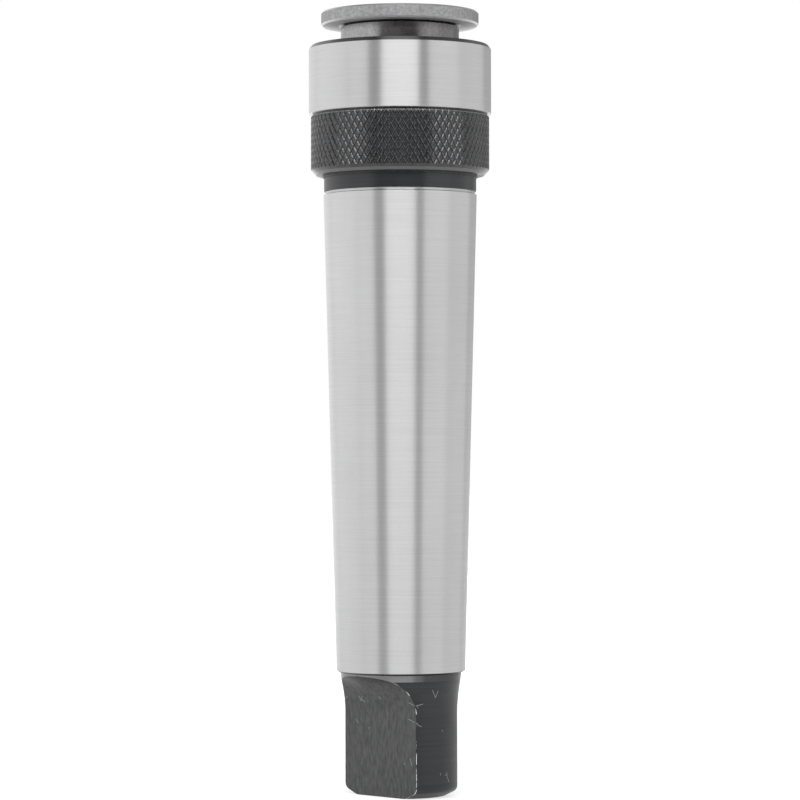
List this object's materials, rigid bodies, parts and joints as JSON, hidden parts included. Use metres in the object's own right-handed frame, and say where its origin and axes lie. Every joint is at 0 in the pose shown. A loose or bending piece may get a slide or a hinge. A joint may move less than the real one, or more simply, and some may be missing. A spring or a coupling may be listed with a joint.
{
  "type": "quick-change collet chuck",
  "caption": "Quick-change collet chuck: a tapered shank with a tang carries a nose whose spring-loaded knurled sleeve locks a plug-in flanged tool collet with balls.",
  "frame": {"origin": "middle of the tang's end face, where the part stands", "axes": "+Z along the chuck's axis from the tang to the nose, +Y and -Y out of the tang's two milled flats"},
  "size_m": [0.0376, 0.0376, 0.1612],
  "materials": {
    "ground_steel": "ground, with black oxide where it was not ground",
    "black_oxide": "black oxide on turned or knurled steel, lightly oiled",
    "satin_steel": "fine blasted satin",
    "spring_steel": "drawn wire, oiled",
    "hardened_steel": "hardened and polished",
    "nitrile_rubber": "moulded, matt"
  },
  "bodies": {
    "base": {"shank_body": "ground_steel", "front_guide_ring": "black_oxide", "front_snap_ring": "spring_steel", "drive_pin_1": "hardened_steel", "drive_pin_2": "hardened_steel", "sleeve_spring": "spring_steel", "ejector_spring": "spring_steel"},
    "sleeve_carrier": {"sleeve_thrust_washer": "spring_steel"},
    "sleeve": {"locking_sleeve": "ground_steel", "rear_wiper_ring": "nitrile_rubber"},
    "ball_1": {"locking_ball_1": "hardened_steel"},
    "ball_2": {"locking_ball_2": "hardened_steel"},
    "ball_3": {"locking_ball_3": "hardened_steel"},
    "ejector": {"ejector_plunger": "black_oxide"},
    "collet": {"collet_body": "satin_steel", "square_driver": "black_oxide", "driver_snap_ring": "spring_steel", "driver_lock_pin_1": "hardened_steel", "driver_lock_pin_2": "hardened_steel", "tool_clamp_screw_1": "black_oxide", "tool_clamp_screw_2": "black_oxide"}
  },
  "joints": [
    {"name": "sleeve_slide", "type": "slide", "parent": "base", "child": "sleeve_carrier", "axis": [0, 0, -1], "range_m": [0, 0.003], "stiffness_N_per_m": 3000, "springref_m": -0.004, "deforming": ["sleeve_spring"]},
    {"name": "sleeve_turn", "type": "hinge", "parent": "sleeve_carrier", "child": "sleeve", "pos_m": [0, 0, 0.14], "axis": [0, 0, 1], "continuous": true},
    {"name": "ball_1_slide", "type": "slide", "parent": "base", "child": "ball_1", "axis": [0.866, 0.5, 0], "range_m": [0, 0.00115]},
    {"name": "ball_2_slide", "type": "slide", "parent": "base", "child": "ball_2", "axis": [-0.866, 0.5, 0], "range_m": [0, 0.00115]},
    {"name": "ball_3_slide", "type": "slide", "parent": "base", "child": "ball_3", "axis": [0, -1, 0], "range_m": [0, 0.00115]},
    {"name": "ejector_slide", "type": "slide", "parent": "base", "child": "ejector", "axis": [0, 0, 1], "range_m": [0, 0.0016], "stiffness_N_per_m": 200, "springref_m": 0.02, "deforming": ["ejector_spring"]},
    {"name": "collet_slide", "type": "slide", "parent": "base", "child": "collet", "axis": [0, 0, 1], "range_m": [0, 0.0016]}
  ],
  "couplings": [
    {"joint": "ball_1_slide", "follows": "sleeve_slide", "ratio": 0.38333},
    {"joint": "ball_2_slide", "follows": "sleeve_slide", "ratio": 0.38333},
    {"joint": "ball_3_slide", "follows": "sleeve_slide", "ratio": 0.38333},
    {"joint": "ejector_slide", "follows": "sleeve_slide", "ratio": 0.53333},
    {"joint": "collet_slide", "follows": "sleeve_slide", "ratio": 0.53333}
  ]
}
